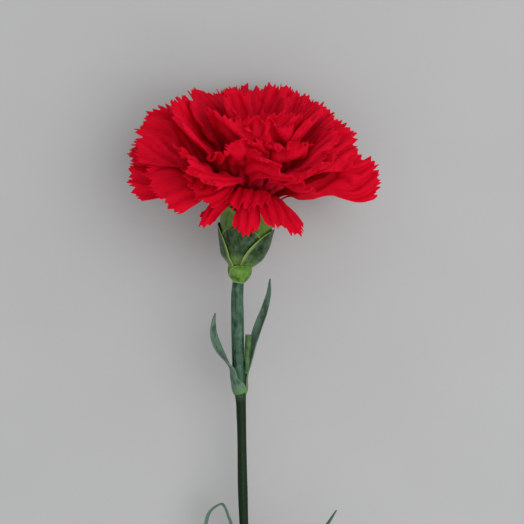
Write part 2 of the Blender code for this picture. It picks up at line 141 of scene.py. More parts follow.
SWELLS = (  # waves, push and phase of the swells that neighbouring petals share
    ((0.25, 0.05, 0.10), (0.3, 0.2, 1.0), 0.4),
    ((-0.12, 0.22, 0.06), (1.0, -0.3, 0.4), 2.1),
    ((0.08, -0.16, 0.20), (0.2, 1.0, -0.5), 4.4),
)
SWELL_SIZE, SWELL_FROM, SWELL_OVER = 1.15, 10, 24  # distances from the mouth's middle
SWELL_SQUASH = (1, 1, 0.7)
TABLE_REACH = 12.3  # petals start to give way this far above the table
TABLE_GIVE = 17  # and however far they reached, they end less than this past that height
TABLE_SPREAD = (-0.55, 0.25)  # share of what gives way that goes upwards, at mouth and crown
CROWN_HEIGHT = 40

# The petals' relaxation
NET_ROWS = 24
NET_COLUMNS = 29
CLAW_NET_ROWS = 8
HELD_ROWS = 2  # lowest rows of a fan, which stay put
WALL_ROW, GAP_ROW = 5, 7  # first rows that keep out of the calyx, and off other petals
RELAX_STEPS = 150
RELAX_ROUNDS = 4
FIRST_WAVES = ((0.7, 1.6, 1.3), (1.8, 3.2, 0.8))  # fewest and most across, and size
WAVE_SIZE, WAVES_FROM, WAVE_DRIFT = 0.9, 0.25, 1.5
GROWTH = 1.35  # how much longer a fan's fringe is than the room it has
GROWTH_FROM = 0.5
GROWTH_TIME = 0.6  # share of the steps over which it grows
PETAL_GAP = 1.2
SAME_SPOT = 2  # rows or columns of one net that may lie nearer than the gap
CROWDING = 0.6  # how much less a point is pushed when many others push it
SHEAR = 0.12
STIFFNESS = 0.3
OVERSHOOT = 1.6
MOMENTUM, FASTEST = 0.85, 0.25
PULL_TO_LINE, PULL_TO_SHAPE = 0.03, 0.012
NET_OFF_TABLE, NET_OFF_CALYX, CALYX_RIM = 0.6, 0.9, 2
TINY, SHORTEST = 1e-9, 1e-6  # keep a length that is divided by off zero
CELL_BITS = 11  # that each of a cell's three places takes in its key

# The petals' fringe and creases
FEWEST_TEETH = 5
TOOTH_WIDTHS, TOOTH_PEAKS, TOOTH_HEIGHTS = (0.5, 1.5), (0.3, 0.7), (0.4, 1.0)
NOTCH_WAVES, NOTCH_DEPTH = (5.5, 8.0), 0.45  # wider notches between groups of teeth
COLUMN_WIDTH, COLUMN_LIMITS = 0.25, (60, 150)
FINE_ROWS, ROW_CROWDING = 44, 0.9
CREASE_SPREADS = (1.3, 2.4, 4.5)  # distances between the soft creases of a petal
CREASE_DEPTH, CREASE_FROM, CREASE_OVER = 0.085, 0.4, 0.5
FLICK_DEPTH, FLICK_FROM, FLICK_OVER = 0.3, 0.82, 0.18  # how single teeth bend out of the petal
FLICK_COLUMNS = 4
CLEAR_OF_TABLE = 0.15

# Calyx and bracts, at heights from the calyx's mouth
CALYX_FOOT = -18.3
CALYX_TIP = 3.2
CALYX_WALL = 0.4
CALYX_TEETH = 5
SLOPE_STEP = 0.1
CALYX_THICKNESS = 0.36  # a little less than the room that the wall has
CALYX_RIBS, RIB_HEIGHT = 35, 0.05
TOOTH_HEIGHT, TOOTH_POINT = 3.2, 1.3
CALYX_NECK = 2.3  # radius of the inner wall at its foot
CALYX_SWELLS = ((3.3, -18.6, 5.2), (2.6, -16, 14), (1.5, -0.5, 4.5))  # more, from, over
BRACT_THICKNESS = 0.28
BRACT_LAYER = 0.42
BRACT_LIFT, STEM_LIFT = 0.15, 0.1  # off the calyx and off the stem
BRACT_FOOT, BRACT_STEP = 1.3, 1.7  # below the calyx's foot, and lower for each layer
BRACT_TUCK = 2.5  # how late, on its way down, a bract turns in to the stem
BRACT_NARROWS, BRACT_POINT = 0.25, 1.6  # share where a bract starts to narrow, and how fast
BRACT_WAIST = (0.72, 0.28)  # share of its width at the foot, and what it gains above
BRACT_FULL, BRACT_NARROWEST = 0.3, 0.05
BRACT_SWELL_FROM, BRACT_SWELL_OVER = 0.3, 0.65
BRACT_VEINS, BRACT_VEIN_HEIGHT = 16, 0.03

# Pistil, stem and leaves
OVARY_OUTLINE = ((0.0, 0.9), (1.5, 1.35), (3.5, 1.45), (5.5, 1.1), (7.2, 0.65))
OVARY_LIFT, STYLE_FOOT = 0.3, 7.5  # above the receptacle, and above the ovary's foot
STYLE_TIP = 19  # above the calyx's mouth
STYLES_APART, STYLES_SPREAD, STYLES_BACK = 0.42, 0.9, 0.5
STYLE_RADIUS, STYLE_TAPER = 0.24, 0.06
RECEPTACLE = (  # height along the head's axis and radius
    (-14.6, 4.7),
    (-15.3, 4.4),
    (-16.2, 3.6),
    (-17.2, 2.75),
    (-18.4, 2.0),
    (-20.0, 1.8),
    (-22.5, 1.8),
)
STEM = (  # place across, depth, height and radius
    (-3.5, 5.4, -26.0, 1.95),
    (-3.5, 6.9, -34.0, 2.05),
    (-3.4, 8.2, -42.0, 2.05),
    (-3.1, 9.6, -51.0, 2.1),
    (-2.8, 10.3, -56.5, 2.3),
    (-2.5, 10.9, -60.5, 1.75),
    (-2.3, 11.7, -67.0, 1.55),
    (-1.9, 13.9, -90.0, 1.6),
    (-1.2, 15.9, -111.0, 1.75),
    (-0.9, 16.4, -118.0, 2.5),
    (-0.6, 16.7, -122.5, 2.0),
    (-0.2, 17.3, -130.0, 1.85),
    (0.9, 19.6, -160.0, 1.9),
    (1.9, 21.3, -181.0, 2.0),
    (2.3, 21.7, -188.0, 2.7),
    (2.5, 22.0, -192.5, 2.2),
    (2.7, 22.5, -200.0, 2.05),
    (2.9, 24.1, -230.0, 2.1),
    (3.3, 25.0, -251.0, 2.15),
    (3.5, 25.2, -257.5, 2.7),
    (3.6, 25.35, -262.0, 2.25),
    (3.7, 25.75, -285.0, 2.2),
)
JOINTS = (4, 9, 14, 19)  # stations of the stem's swollen joints
STUB = (
    (-0.7, 9.0, -52.5, 0.5),
    (-0.3, 8.3, -48.5, 0.8),
    (-0.2, 7.9, -45.0, 0.95),
    (0.1, 7.0, -39.7, 1.05),
)
STEM_RIDGES = ((0.025, 14, 0), (0.015, 23, 1))  # height, how many round it, and phase
JOINT_RINGS = ((-0.16, 1.1, 0.45), (0.10, -0.3, 0.7))  # height, place above a joint, and width
LEAF_THICKNESS = 0.4
LEAF_GAP = 0.25
SHEATH_FOOT = (0.28, -2.6)  # how far a sheath's foot is sunk, and its height over the joint
SHEATH_RISE = ((0, -0.6), (0, 0.8), (0.1, 2.6))  # further out, and height over the joint
SHEATH_REACH = 1.42  # how far round the stem a sheath reaches to each side, in radians
CLASP_TO, CLASP_OVER = 0.05, 0.18
LEAF_TWIST_FROM, LEAF_TWIST_OVER = 0.2, 0.6
LEAF_TAPER, LEAF_POINT, LEAF_NARROWEST = 2.1, 0.8, 0.12
LEAF_BENDS = ((3.2, 0.06, 0.3), (6, 0.4, 0.6))  # how the channel flattens: more, from, over
LEAF_VEINS, LEAF_VEIN_HEIGHT = 11, 0.03
MIDRIB_DEPTH, MIDRIB_WIDTH = 0.12, 0.1

# Camera and lights, in the flower's frame
CAMERA_PLACE = (4.48, -467.0, -16.0)
CAMERA_SPAN = 167.7  # width of what is seen at the depth of the calyx's mouth
SENSOR_WIDTH = 36
LIGHT_TARGET = (0, 0, 10)
TABLE_HALF, NEAREST_SEEN = 8.0, 0.01  # half the table's side, and where the view starts, in metres

MERGE_REACH = 0.002
CUT_RIM, CUT_STEP = 0.08, 0.04  # width of a cut end's rim, and the step to its face
CALYX_GRID, BRACT_GRID, LEAF_GRID = (210, 48), (84, 56), (48, 160)  # columns and rows
OVARY_GRID, STYLE_GRID, STEM_GRID, STUB_GRID = (32, 32), (12, 48), (72, 620), (36, 24)


def lerp(ends, share):
    """The value this share of the way between two ends."""
    return ends[0] + (ends[1] - ends[0]) * share


def smooth(share):
    """0 to 1 with level ends, for a share that may run past them."""
    clipped = np.clip(share, 0, 1)
    return clipped * clipped * (3 - 2 * clipped)


HEAD_TURN = np.array(Matrix.Rotation(HEAD_TILT, 3, "X") @ Matrix.Rotation(HEAD_LEAN, 3, "Y"))


def in_flower(points):
    """Points of the head's frame, its axis upright, in the flower's frame."""
    return np.asarray(points, float) @ HEAD_TURN.T


def to_world(points):
    """Points of the flower's frame, in millimetres, as places of the frame in metres."""
    x, y, z = np.moveaxis(np.asarray(points, float), -1, 0)
    return np.stack([x + MOUTH.x, z + MOUTH.y, MOUTH.z - y], axis=-1) * MM


def around_axis(angle, radius, height):
    """Points of the head's frame, from their places round its axis."""
    return np.stack([radius * np.cos(angle), radius * np.sin(angle), height + 0 * angle], axis=-1)


# ---------------------------------------------------------------- building


def new_object(name, mesh, materials):
    """A named object at the origin with its materials, in the scene."""
    made = bpy.data.objects.new(name, mesh)
    for material in materials:
        made.data.materials.append(material)
    bpy.context.scene.collection.objects.link(made)
    return made


def stands_for(piece, node):
    """The piece rides on the flower in place of its plain solid."""
    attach(piece, "root")
    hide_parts(node)


def sheet(name, columns, rows, place, materials, closed=False, ends=False, thickness=None):
    """A grid that place() shapes, from across -1 to 1 and share 0 to 1, with a UV map of both.

    A closed sheet's two sides meet, as in a tube, and ends closes that tube.
    """
    grid = bmesh.new()
    bmesh.ops.create_grid(grid, x_segments=columns, y_segments=rows, size=1)
    surface = grid.loops.layers.uv.new("surface")
    for face in grid.faces:
        for loop in face.loops:
            loop[surface].uv = (loop.vert.co.x / 2 + 0.5, loop.vert.co.y / 2 + 0.5)
    flat = np.array([vertex.co for vertex in grid.verts])
    places = to_world(place(flat[:, 0], flat[:, 1] / 2 + 0.5))
    for vertex, point in zip(grid.verts, places):
        vertex.co = point
    if closed:
        bmesh.ops.remove_doubles(grid, verts=grid.verts, dist=MERGE_REACH * MM)
    if ends:
        open_edges = [edge for edge in grid.edges if edge.is_boundary]
        caps = bmesh.ops.holes_fill(grid, edges=open_edges, sides=0)["faces"]
        rim, step = CUT_RIM * MM, CUT_STEP * MM
        cut = bmesh.ops.inset_region(grid, faces=caps, thickness=rim, depth=step)
        for face in caps + cut["faces"]:
            face.material_index = len(materials) - 1
    bmesh.ops.recalc_face_normals(grid, faces=grid.faces)
    mesh = bpy.data.meshes.new(name)
    grid.to_mesh(mesh)
    grid.free()
    mesh.shade_smooth()
    made = new_object(name, mesh, materials)
    if thickness:
        solid = made.modifiers.new("Thickness", "SOLIDIFY")
        solid.thickness = thickness * MM
        solid.offset = 0
    return made


# ---------------------------------------------------------------- petals as they grow


def petal_row(index):
    """A petal's way round the axis, added lean, length, width, turn and its fringe's growth."""
    if index < len(SET_PETALS):
        around, lean, length, width, turn, growth = SET_PETALS[index]
        return math.radians(around), math.radians(lean), length, width, turn, growth
    level = index / (PETAL_COUNT - 1)
    own = random.Random(index)
    around = index * GOLDEN_ANGLE + own.uniform(*PLACE_SPREAD)
    front = max(-math.sin(around), 0) * smooth((level - INNER_FROM) / INNER_OVER)
    length = np.interp(level, *LENGTHS) * own.uniform(*LENGTH_SPREAD) * (1 - FRONT_SHORTER * front)
    width = lerp(WIDTHS, level) * own.uniform(*WIDTH_SPREAD)
    any_turn = random.Random(TURN_SEED + index).uniform(*TURN_SPREAD)
    lean, longer, turn = SET_INNER.get(index, (0, 1.0, any_turn))
    return around, math.radians(lean), length * longer, width, turn, GROWTH


def petal_profile(level, added_lean, around):
    """Distances from a petal's foot, the radius and height there, and the claw's length."""
    front = max(math.cos(around + math.pi / 2), 0) ** 2
    foot, mouth = lerp(CLAW_FOOT_RING, level), lerp(CLAW_MOUTH_RING, level)
    claw_angle = math.atan2(mouth - foot, CLAW_LENGTH)
    claw = CLAW_LENGTH / math.cos(claw_angle)
    steepest = (OUT_ANGLE[0] - FRONT_RISE * front, OUT_ANGLE[1])
    out = lerp(steepest, level**OUT_POWER) + LEAN_IN_BEND * added_lean
    fold = front * math.radians(np.interp(level, *FOLD))
    droop = lerp(DROOP, level) + LEAN_IN_DROOP * added_lean
    distance = np.linspace(0, claw + PROFILE_REACH * FULL_FAN, PROFILE_POINTS)
    above = distance - claw
    lean = claw_angle + (out - claw_angle) * smooth(above / BEND_LENGTH)
    folded = fold * smooth((above - FOLD_START) / FOLD_LENGTH)
    lean += droop * np.clip(above / FULL_FAN, 0, 2) ** 2 + folded
    middle = (lean[1:] + lean[:-1]) / 2
    radius = foot + np.concatenate([[0], np.cumsum(np.sin(middle)) * distance[1]])
    height = -CLAW_LENGTH + np.concatenate([[0], np.cumsum(np.cos(middle)) * distance[1]])
    return distance, radius, height, claw


def fan_width(above, index, share=1.0):
    """Width of a petal's fan at a distance above the mouth, its full width taken to a share."""
    _, _, length, width, _, _ = petal_row(index)
    lateness = FAN_LATENESS if index else STRAP_LATENESS
    widen = smooth((above - FAN_NARROW) / (FAN_WIDEST * length - FAN_NARROW)) ** lateness
    return NECK_WIDTH + (width * share - NECK_WIDTH) * widen


def rounded(across, width):
    """Share of its length that a fan reaches at each place across: narrow lobes are rounder."""
    corner = LOBE_ROUNDING if width < LOBE_WIDTH else FAN_ROUNDING
    return 1 - corner * np.abs(across) ** 2.5


def stir(points):
    """Small wide swells that carry neighbouring petals along together."""
    reach = np.linalg.norm(points * SWELL_SQUASH, axis=-1)
    size = SWELL_SIZE * smooth((reach - SWELL_FROM) / SWELL_OVER)
    moved = points.copy()
    for wave, push, phase in SWELLS:
        moved += (size * np.sin(points @ np.array(wave) + phase))[..., None] * np.array(push)
    return moved


def nod(points):
    """The head sinks towards the viewer and rises at its back."""
    reach = np.linalg.norm(points, axis=-1)
    moved = points.copy()
    moved[..., 2] += NOD * points[..., 1] * smooth((reach - NOD_FROM) / NOD_OVER)
    return moved


def press_on_table(points):
    """The underside of the head gives way where it lies, and spreads along the table."""
    past = np.maximum(points[..., 1] - TABLE_DEPTH + TABLE_REACH, 0)
    pressed = TABLE_GIVE * (1 - np.exp(-past / TABLE_GIVE))
    moved = points.copy()
    moved[..., 1] += pressed - past
    spread = lerp(TABLE_SPREAD, smooth(points[..., 2] / CROWN_HEIGHT))
    moved[..., 2] += (past - pressed) * spread
    return moved


def turned_about_length(points, degrees, shares):
    """A petal's points, turned about its own middle line by more towards its fringe."""
    middle = points[:, points.shape[1] // 2][:, None, :]
    axis = np.gradient(middle[:, 0], axis=0)
    axis = (axis / np.linalg.norm(axis, axis=1, keepdims=True))[:, None, :]
    angle = math.radians(degrees) * smooth((shares - TURN_FROM) / TURN_OVER)[:, None, None]
    arm = points - middle
    along = np.broadcast_to(axis, arm.shape)
    lifted = np.cross(along, arm) * np.sin(angle)
    kept = along * (arm * along).sum(-1, keepdims=True) * (1 - np.cos(angle))
    return middle + arm * np.cos(angle) + lifted + kept


def grown_petal(index):
    """A petal's net as it grew on its own level, claw rows first, and the same net turned."""
    level = index / (PETAL_COUNT - 1)
    around, lean, length, width, turn, _ = petal_row(index)
    across = np.linspace(-1, 1, NET_COLUMNS)
    share = np.linspace(0, 1, NET_ROWS)
    above = np.zeros((CLAW_NET_ROWS + NET_ROWS, NET_COLUMNS))
    above[CLAW_NET_ROWS:] = share[:, None] * length * rounded(across, width)
    neck = np.ones(CLAW_NET_ROWS + NET_ROWS)
    neck[:CLAW_NET_ROWS] = np.arange(CLAW_NET_ROWS) / CLAW_NET_ROWS
    radius, height = np.zeros_like(above), np.zeros_like(above)
    for column, place in enumerate(across):
        towards = around + place * SIDE_SPREAD * width * FAN_CHORD / (2 * FAN_REACH)
        distance, radii, heights, claw = petal_profile(level, lean, towards)
        along = claw * neck + above[:, column]
        radius[:, column] = np.interp(along, distance, radii)
        height[:, column] = np.interp(along, distance, heights)
    wide = fan_width(above, index, FAN_CHORD)
    claw_width = lerp(CLAW_WIDTH, level) * (1 - neck) + NECK_WIDTH * neck
    wide[:CLAW_NET_ROWS] = claw_width[:CLAW_NET_ROWS, None]
    flat = around_axis(around + across * wide / (2 * radius), radius, height)
    shares = np.concatenate([np.zeros(CLAW_NET_ROWS), share])
    nets = [flat, turned_about_length(flat, turn, shares)]
    return [press_on_table(nod(in_flower(stir(net)))) for net in nets]


def near_pairs(points, reach):
    """Index pairs of points that share or adjoin a cell of this size, from a sorted grid."""
    cell = np.floor(points / reach).astype(np.int64) + (1 << CELL_BITS - 2)
    key = (cell[:, 0] << 2 * CELL_BITS) | (cell[:, 1] << CELL_BITS) | cell[:, 2]
    order = np.argsort(key, kind="stable")
    key = key[order]
    here = np.arange(len(points))
    first, second = [], []
    steps = [(0, 0, 0), (1, 0, 0), (0, 1, 0), (0, 0, 1)]
    steps += [(1, 1, 0), (1, -1, 0), (1, 0, 1), (1, 0, -1), (0, 1, 1), (0, 1, -1)]
    steps += [(1, 1, 1), (1, 1, -1), (1, -1, 1), (1, -1, -1)]
    for x, y, z in steps:
        wanted = key + (x << 2 * CELL_BITS) + (y << CELL_BITS) + z
        low = np.searchsorted(key, wanted, side="left") if (x, y, z) != (0, 0, 0) else here + 1
        count = np.maximum(np.searchsorted(key, wanted, side="right") - low, 0)
        start = np.repeat(low, count)
        step = np.arange(len(start)) - np.repeat(np.cumsum(count) - count, count)
        first.append(order[np.repeat(here, count)])
        second.append(order[start + step])
    return np.concatenate(first), np.concatenate(second)


def pull_together(start, end, rest, strength):
    """How far each start moves along its edge to bring that edge towards its rest length."""
    edge = end - start
    length = np.sqrt((edge * edge).sum(-1))
    return (strength * 0.5 * (length - rest) / np.maximum(length, SHORTEST))[..., None] * edge


def unit_normals(net):
    """Normals of one net, or of many, whose last axes are row, column and place."""
    normal = np.cross(np.gradient(net, axis=-2), np.gradient(net, axis=-3))
    return normal / np.maximum(np.linalg.norm(normal, axis=-1, keepdims=True), TINY)


def edge_families(across, along):
    """The net's springs: two views of the net, their rest length and strength."""
    whole, to, past = slice(None), slice(None, -1), slice(1, None)
    to_two, past_two = slice(None, -2), slice(2, None)
    slant = np.hypot(
        (across[:, :-1] + across[:, 1:]) / 2, (along[:, :, :-1] + along[:, :, 1:]) / 2
    )
    return (
        ((whole, to), (whole, past), across, 1.0),
        ((to, whole), (past, whole), along, 1.0),
        ((to, to), (past, past), slant, SHEAR),
        ((to, past), (past, to), slant, SHEAR),
        ((whole, to_two), (whole, past_two), across[:, :, 1:] + across[:, :, :-1], STIFFNESS),
        ((to_two, whole), (past_two, whole), along[:, 1:] + along[:, :-1], 2 * STIFFNESS),
    )


def grown_lengths(room):
    """Rest lengths across and along each net once its fringe has grown."""
    share, across = np.linspace(0, 1, NET_ROWS), np.linspace(-1, 1, NET_COLUMNS)
    grown_across, along = np.zeros_like(room), np.zeros((PETAL_COUNT, NET_ROWS - 1, NET_COLUMNS))
    for index in range(PETAL_COUNT):
        _, _, length, width, _, growth = petal_row(index)
        more = 1 + (growth - 1) * smooth((share - GROWTH_FROM) / (1 - GROWTH_FROM))
        full = fan_width(share * length, index) * more
        grown_across[index] = (full / (NET_COLUMNS - 1))[:, None]
        along[index] = (length * rounded(across, width) / (NET_ROWS - 1))[None, :]
    return grown_across, along


def with_first_waves(net):
    """The nets with faint waves of their own, which growth then deepens."""
    chance = np.random.RandomState(WAVE_SEED)
    share, across = np.linspace(0, 1, NET_ROWS), np.linspace(-1, 1, NET_COLUMNS)
    waves = np.zeros(net.shape[:3])
    for low, high, size in FIRST_WAVES:
        count = chance.uniform(low, high, (PETAL_COUNT, 1, 1))
        phase = chance.uniform(0, 2 * math.pi, (PETAL_COUNT, 1, 1))
        drift = chance.uniform(-WAVE_DRIFT, WAVE_DRIFT, (PETAL_COUNT, 1, 1))
        swing = math.pi * count * across + phase + drift * share[None, :, None]
        waves += size * np.sin(swing)
    waves *= WAVE_SIZE * smooth((share - WAVES_FROM) / (1 - WAVES_FROM))[None, :, None]
    return net + unit_normals(net) * waves[..., None]


def push_apart(net, loose, spots):
    """How far each point moves so that petals, and the folds of one petal, keep their gap."""
    petal, row, column = spots
    flat = net.reshape(-1, 3)
    first, second = near_pairs(flat[loose], PETAL_GAP)
    first, second = loose[first], loose[second]
    same = (petal[first] == petal[second]) & (np.abs(row[first] - row[second]) <= SAME_SPOT)
    apart = ~(same & (np.abs(column[first] - column[second]) <= SAME_SPOT))
    first, second = first[apart], second[apart]
    gap = flat[second] - flat[first]
    length = np.sqrt((gap * gap).sum(1))
    touching = length < PETAL_GAP
    first, second, gap, length = (a[touching] for a in (first, second, gap, length))
    push = gap * ((PETAL_GAP - length) / np.maximum(length, SHORTEST) * 0.5)[:, None]
    size = len(flat)
    sums = [np.bincount(second, part, size) - np.bincount(first, part, size) for part in push.T]
    away = np.stack(sums, axis=1)
    met = np.bincount(first, minlength=size) + np.bincount(second, minlength=size)
    away /= np.maximum(met, 1)[:, None] ** CROWDING
    return away.reshape(net.shape)


def outside_calyx(net):
    """The nets with what has sunk into the calyx moved out to its wall."""
    head = net @ HEAD_TURN
    radius = np.hypot(head[..., 0], head[..., 1])
    wall = calyx_skin(head[..., 2]) + NET_OFF_CALYX
    above_neck = np.arange(NET_ROWS)[None, :, None] >= WALL_ROW
    inside = above_neck & (head[..., 2] < CALYX_RIM) & (radius < wall)
    head[..., :2] *= np.where(inside, wall / np.maximum(radius, SHORTEST), 1)[..., None]
    return head @ HEAD_TURN.T


def relaxed_petals(steps):
    """Every petal's net once its fringe has grown too long to lie flat and pushed for room.

    Each net is a sheet of springs whose rest lengths grow towards the fringe, so it ruffles.
    Points of different petals keep a gap, and nothing enters the table or the calyx.
    """
    grown = [grown_petal(index) for index in range(PETAL_COUNT)]
    claws = np.stack([pair[0][:CLAW_NET_ROWS] for pair in grown])
    net = np.stack([pair[0][CLAW_NET_ROWS:] for pair in grown])
    target = np.stack([pair[1][CLAW_NET_ROWS:] for pair in grown])
    net[0] = target[0]
    room = np.linalg.norm(net[:, :, 1:] - net[:, :, :-1], axis=-1)
    grown_across, along = grown_lengths(room)
    net = with_first_waves(net)

    free = np.ones((1, NET_ROWS, 1, 1))
    free[0, :HELD_ROWS] = 0
    counts = np.zeros(net.shape[:3] + (1,))
    for start, end, _, strength in edge_families(grown_across, along):
        counts[(slice(None), *start)] += strength
        counts[(slice(None), *end)] += strength
    ease = OVERSHOOT / counts * free
    spots = [axis.ravel() for axis in np.indices(net.shape[:3])]
    loose = np.nonzero(spots[1] >= GAP_ROW)[0]
    middles = target.mean(axis=2)
    before = net.copy()
    for step in range(steps):
        age = smooth(step / (steps * GROWTH_TIME))
        families = edge_families(room * (1 - age) + grown_across * age, along)
        drift = np.clip((net - before) * MOMENTUM, -FASTEST, FASTEST) * free
        before = net.copy()
        net = net + drift
        for _ in range(RELAX_ROUNDS):
            pull = np.zeros_like(net)
            for start, end, rest, strength in families:
                start, end = (slice(None), *start), (slice(None), *end)
                moved = pull_together(net[start], net[end], rest, strength)
                pull[start] += moved
                pull[end] -= moved
            net = net + pull * ease
        lag = (middles - net.mean(axis=2))[:, :, None, :]
        net = net + free * (PULL_TO_LINE * lag + PULL_TO_SHAPE * age * (target - net))
        net = net + push_apart(net, loose, spots) * free
        net[..., 1] = np.minimum(net[..., 1], TABLE_DEPTH - NET_OFF_TABLE)
        net = outside_calyx(net)
    return np.concatenate([claws, net], axis=1)


# ---------------------------------------------------------------- petals as they are seen


def spline_weights(count, places):
    """What each of count even points gives a smooth curve through them, at each place."""
    bend, force = np.eye(count), np.zeros((count, count))
    for i in range(1, count - 1):
        bend[i, i - 1 : i + 2] = 1, 4, 1
        force[i, i - 1 : i + 2] = 6, -12, 6
    curve = np.linalg.solve(bend, force)
    left = np.clip(np.floor(places).astype(int), 0, count - 2)
    part = (places - left)[:, None]
    rest = 1 - part
    each = np.eye(count)
    bent = (rest**3 - rest) * curve[left] + (part**3 - part) * curve[left + 1]
    return rest * each[left] + part * each[left + 1] + bent / 6


def tooth_cuts(across, width, chance, depth, spacing):
    """How far the fringe is cut back at each place across: uneven pointed teeth."""
    count = max(FEWEST_TEETH, round(width / spacing))
    edges = np.concatenate([[0], np.cumsum(chance.uniform(*TOOTH_WIDTHS, count))])
    edges /= edges[-1]
    tooth = np.clip(np.searchsorted(edges, across, side="right") - 1, 0, count - 1)
    part = (across - edges[tooth]) / (edges[tooth + 1] - edges[tooth])
    peak = chance.uniform(*TOOTH_PEAKS, count)[tooth]
    high = chance.uniform(*TOOTH_HEIGHTS, count)[tooth]
    cut = depth * (1 - high * np.where(part < peak, part / peak, (1 - part) / (1 - peak)))
    for wave in NOTCH_WAVES:
        lobe = np.sin(math.pi * across * width / wave + chance.uniform(0, math.pi))
        cut += NOTCH_DEPTH * depth * (1 - np.abs(lobe)) ** 2
    return cut


def fine_lift(across, share, fringe, chance):
    """How far a petal's soft creases and bent teeth stand off it, by row and column."""
    columns = len(across) - 1
    crease = np.zeros(columns + 1)
    for spread in CREASE_SPREADS:
        knots = chance.uniform(-1, 1, int(fringe / spread) + 2)
        weights = spline_weights(len(knots), across * (len(knots) - 1))
        crease += weights @ knots * spread / CREASE_SPREADS[-1]
    flick = chance.uniform(-1, 1, columns // FLICK_COLUMNS + 3)
    flick = np.interp(np.arange(columns + 1), np.arange(len(flick)) * FLICK_COLUMNS, flick)
    lift = CREASE_DEPTH * smooth((share - CREASE_FROM) / CREASE_OVER) * crease
    return lift + FLICK_DEPTH * smooth((share - FLICK_FROM) / FLICK_OVER) * flick


def fine_petal(net, index, settings):
    """A petal's fine rows and columns of points, toothed at the fringe and faintly creased."""
    chance = np.random.RandomState(FRINGE_SEED + index)
    fringe = np.linalg.norm(np.diff(net[-1], axis=0), axis=1).sum()
    columns = int(np.clip(fringe / COLUMN_WIDTH, *COLUMN_LIMITS))
    across = np.linspace(0, 1, columns + 1)
    wide = np.einsum("mc,rcx->rmx", spline_weights(NET_COLUMNS, across * (NET_COLUMNS - 1)), net)
    last = CLAW_NET_ROWS + NET_ROWS - 1
    claw_rows = np.linspace(0, CLAW_NET_ROWS, CLAW_NET_ROWS)[:-1]
    fan_rows = (NET_ROWS - 1) * np.linspace(0, 1, FINE_ROWS) ** ROW_CROWDING
    places = np.concatenate([claw_rows, CLAW_NET_ROWS + fan_rows])
    row_length = petal_row(index)[2] / (NET_ROWS - 1)
    depth, spacing = settings.tooth_depth / MM, settings.tooth_spacing / MM
    cuts = tooth_cuts(across, fringe, chance, depth, spacing) / row_length
    # only the last two fifths of the fan give way to the teeth
    weight = smooth((places - CLAW_NET_ROWS) / (NET_ROWS - 1) * 2.5 - 1.5)
    fine = np.zeros((len(places), columns + 1, 3))
    for column in range(columns + 1):
        at = np.minimum(places - cuts[column] * weight, last)
        fine[:, column] = spline_weights(last + 1, at) @ wide[:, column]
    share = np.clip((places - CLAW_NET_ROWS) / (NET_ROWS - 1), 0, 1)[:, None]
    fine = fine + unit_normals(fine) * fine_lift(across, share, fringe, chance)[..., None]
    fine[..., 1] = np.minimum(fine[..., 1], MOUTH.z - CLEAR_OF_TABLE)
    return fine


# ---------------------------------------------------------------- calyx, bracts and stem shapes


def calyx_skin(height):
    """Radius of the calyx's inner wall: a bowl that rises from the neck and flares at the top."""
    radius = CALYX_NECK
    for more, start, over in CALYX_SWELLS:
        radius = radius + more * smooth((height - start) / over)
    return radius


def off_skin(height, off):
    """Radius at a height of what lies this far off the calyx's inner wall, square to it."""
    above, below = calyx_skin(height + SLOPE_STEP), calyx_skin(height - SLOPE_STEP)
    slope = (above - below) / (2 * SLOPE_STEP)
    return calyx_skin(height) + off * np.sqrt(1 + slope**2)


def bract_foot(layer):
    """Height at which a layer of bracts leaves the stem."""
    return CALYX_FOOT - (BRACT_FOOT + BRACT_STEP * layer)


def bract_radius(height, layer):
    """Middle of a bract's thickness, over the calyx and then down against the stem."""
    off = CALYX_WALL + BRACT_LIFT + BRACT_THICKNESS / 2 + layer * BRACT_LAYER
    at_stem = RECEPTACLE[-1][1] + STEM_LIFT + BRACT_THICKNESS / 2
    tuck = np.clip((CALYX_FOOT - height) / (CALYX_FOOT - bract_foot(layer)), 0, 1) ** BRACT_TUCK
    return off_skin(height, off) * (1 - tuck) + at_stem * tuck


def along_path(path, share):
    """Places and directions at shares of the way along a smooth curve through a path's points.

    A path's points may hold more than a place, such as a radius, which is smoothed with it.
    """
    path = np.array(path, float)
    gaps = np.linalg.norm(np.diff(path[:, :3], axis=0), axis=1)
    steps = np.concatenate([[0], np.cumsum(gaps)])
    slopes = np.gradient(path, steps, axis=0)
    at = np.clip(share, 0, 1) * steps[-1]
    left = np.clip(np.searchsorted(steps, at, side="right") - 1, 0, len(steps) - 2)
    span = (steps[left + 1] - steps[left])[:, None]
    t = (at - steps[left])[:, None] / span
    start, end = path[left], path[left + 1]
    slope, end_slope = slopes[left] * span, slopes[left + 1] * span
    place = start * (2 * t**3 - 3 * t**2 + 1) + slope * (t**3 - 2 * t**2 + t)
    place += end * (3 * t**2 - 2 * t**3) + end_slope * (t**3 - t**2)
    toward = start * (6 * t**2 - 6 * t) + slope * (3 * t**2 - 4 * t + 1)
    toward += end * (6 * t - 6 * t**2) + end_slope * (3 * t**2 - 2 * t)
    return place, toward / np.linalg.norm(toward[:, :3], axis=1)[:, None]


def tube(name, stations, sides, rows, materials, ripple=None):
    """A closed round tube through stations of place and radius, its ends cut and closed."""

    def place(across, share):
        centre, toward = along_path(stations, share)
        toward = toward[:, :3]
        side = np.cross(toward, [0, 1, 0])
        side /= np.linalg.norm(side, axis=1)[:, None]
        other = np.cross(side, toward)
        angle = (math.pi * across)[:, None]
        radius = centre[:, 3]
        if ripple is not None:
            radius = radius + ripple(math.pi * across, centre[:, 2])
        around = side * np.cos(angle) + other * np.sin(angle)
        return centre[:, :3] + around * radius[:, None]

    return sheet(name, sides, rows, place, materials, closed=True, ends=True)


# ---------------------------------------------------------------- finishes


